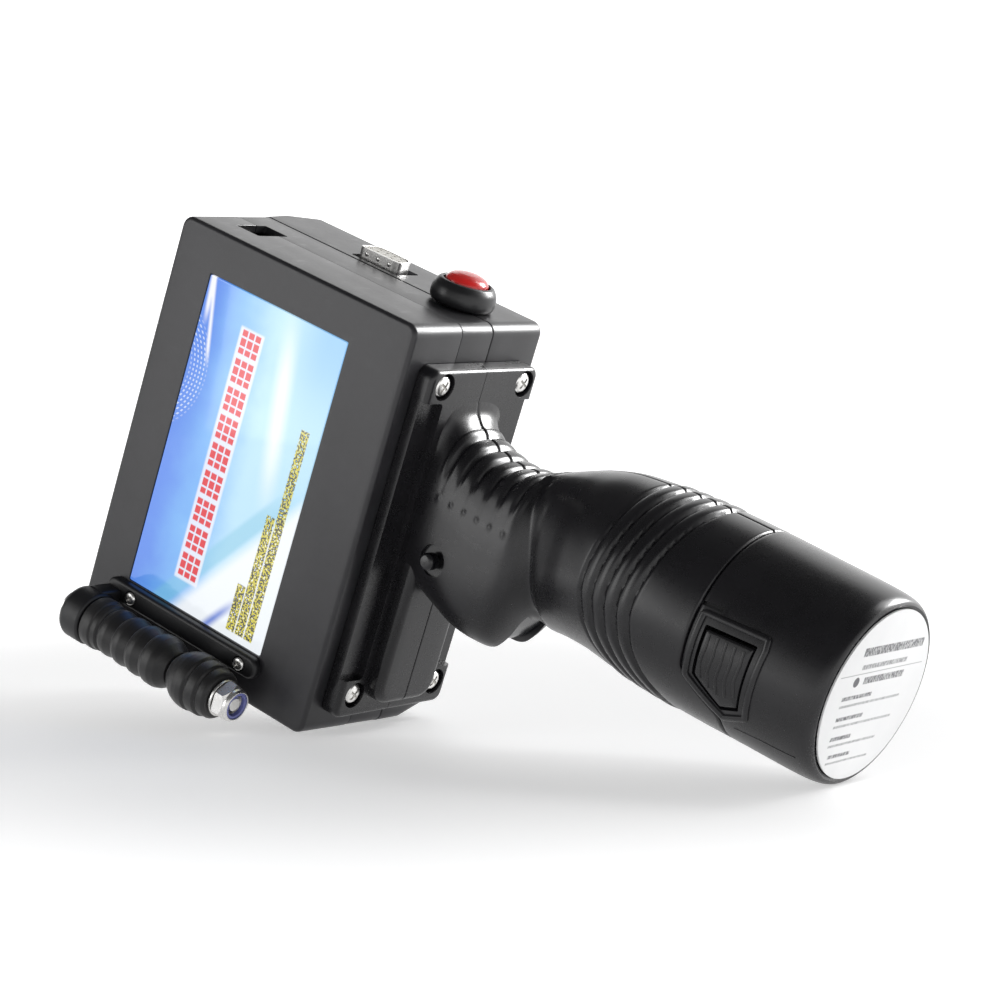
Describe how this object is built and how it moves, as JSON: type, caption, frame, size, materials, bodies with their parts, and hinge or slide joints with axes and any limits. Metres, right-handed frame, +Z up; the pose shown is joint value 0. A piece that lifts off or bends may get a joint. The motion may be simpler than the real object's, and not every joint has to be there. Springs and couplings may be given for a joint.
{
  "type": "handheld date code inkjet printer",
  "caption": "Handheld inkjet coding printer with a display, guide roller, ink cartridge, trigger grip and slide-in battery, lying at rest.",
  "frame": {"origin": "on the table, below the middle of the whole printer's bounding box", "axes": "+Z up from the table with the printer lying at rest on its print edge and battery rim; +X along the table towards the battery end; -Y is the side the display faces"},
  "size_m": [0.2647, 0.0778, 0.1473],
  "materials": {
    "housing_plastic": "satin black moulded ABS with a fine texture",
    "grip_plastic": "satin black moulded nylon",
    "display": "glossy lit display showing a pale blue picture",
    "display_frame": "stamped metal back of the display",
    "board": "green circuit board",
    "chip": "black chip package",
    "steel": "bright zinc-plated steel",
    "dark_plastic": "black moulded plastic",
    "gloss_plastic": "glossy black plastic",
    "pale_plastic": "pale moulded plastic of the serial port core",
    "red_plastic": "glossy red plastic",
    "label_film": "white printed label",
    "cell_wrap": "shrink wrapped battery cell",
    "rubber": "black moulded rubber",
    "nylon": "pale violet nylon ring",
    "nozzle_gold": "gold-coloured nozzle plate"
  },
  "bodies": {
    "housing_body": {"front_shell": "housing_plastic", "middle_frame": "housing_plastic", "rear_shell": "housing_plastic", "display_panel": "display", "display_module": "display_frame", "main_board": "board", "board_processor": "chip", "usb_socket": "steel", "usb_tongue": "dark_plastic", "serial_port_shell": "steel", "serial_port_insert": "pale_plastic", "button_bezel": "dark_plastic", "button_switch_body": "dark_plastic", "button_lock_nut": "steel", "handle_front_half": "grip_plastic", "handle_rear_half": "grip_plastic", "flange_screw_1": "steel", "flange_screw_2": "steel", "flange_screw_3": "steel", "flange_screw_4": "steel", "trigger_switch": "dark_plastic", "power_switch": "dark_plastic", "battery_contact_block": "dark_plastic", "roller_bracket": "dark_plastic", "bracket_screw_1": "steel", "bracket_screw_2": "steel", "roller_bolt": "steel", "roller_washer": "steel", "lock_nut": "steel", "nut_insert": "nylon", "cartridge_cradle": "dark_plastic", "contact_board": "board", "print_face_plate": "steel"},
    "red_button_body": {"red_button_cap": "red_plastic"},
    "power_button_body": {"power_button": "gloss_plastic"},
    "trigger_body": {"trigger": "gloss_plastic"},
    "battery_body": {"battery_case": "grip_plastic", "battery_end_cap": "grip_plastic", "battery_label": "label_film", "battery_cell_1": "cell_wrap", "battery_cell_2": "cell_wrap", "battery_cell_3": "cell_wrap"},
    "latch_front_body": {"latch_button_front": "grip_plastic"},
    "latch_rear_body": {"latch_button_rear": "grip_plastic"},
    "long_roller_body": {"long_roller": "rubber"},
    "short_roller_body": {"short_roller": "rubber"},
    "cartridge_body": {"ink_cartridge": "dark_plastic", "print_head": "nozzle_gold"}
  },
  "joints": [
    {"name": "red_button_press", "type": "slide", "parent": "housing_body", "child": "red_button_body", "axis": [-0.3438, 0, -0.939], "range_m": [0, 0.0024], "stiffness_N_per_m": 900, "springref_m": -0.0015},
    {"name": "power_button_press", "type": "slide", "parent": "housing_body", "child": "power_button_body", "axis": [0, 1, 0], "range_m": [0, 0.0008], "stiffness_N_per_m": 1500, "springref_m": -0.001},
    {"name": "trigger_pull", "type": "slide", "parent": "housing_body", "child": "trigger_body", "axis": [0.3438, 0, 0.939], "range_m": [0, 0.004], "stiffness_N_per_m": 500, "springref_m": -0.003},
    {"name": "battery_release", "type": "slide", "parent": "housing_body", "child": "battery_body", "axis": [0.939, 0, -0.3438], "range_m": [0, 0.085]},
    {"name": "latch_front_press", "type": "slide", "parent": "battery_body", "child": "latch_front_body", "axis": [0, 1, 0], "range_m": [0, 0.0016], "stiffness_N_per_m": 1800, "springref_m": -0.0012},
    {"name": "latch_rear_press", "type": "slide", "parent": "battery_body", "child": "latch_rear_body", "axis": [0, -1, 0], "range_m": [0, 0.0016], "stiffness_N_per_m": 1800, "springref_m": -0.0012},
    {"name": "long_roller_spin", "type": "hinge", "parent": "housing_body", "child": "long_roller_body", "pos_m": [-0.09746, -0.0302, 0.02288], "axis": [-0.939, 0, 0.3438], "continuous": true},
    {"name": "short_roller_spin", "type": "hinge", "parent": "housing_body", "child": "short_roller_body", "pos_m": [-0.07493, -0.0302, 0.01463], "axis": [-0.939, 0, 0.3438], "continuous": true},
    {"name": "cartridge_lift", "type": "slide", "parent": "housing_body", "child": "cartridge_body", "axis": [-0.939, 0, 0.3438], "range_m": [0, 0.062]}
  ]
}
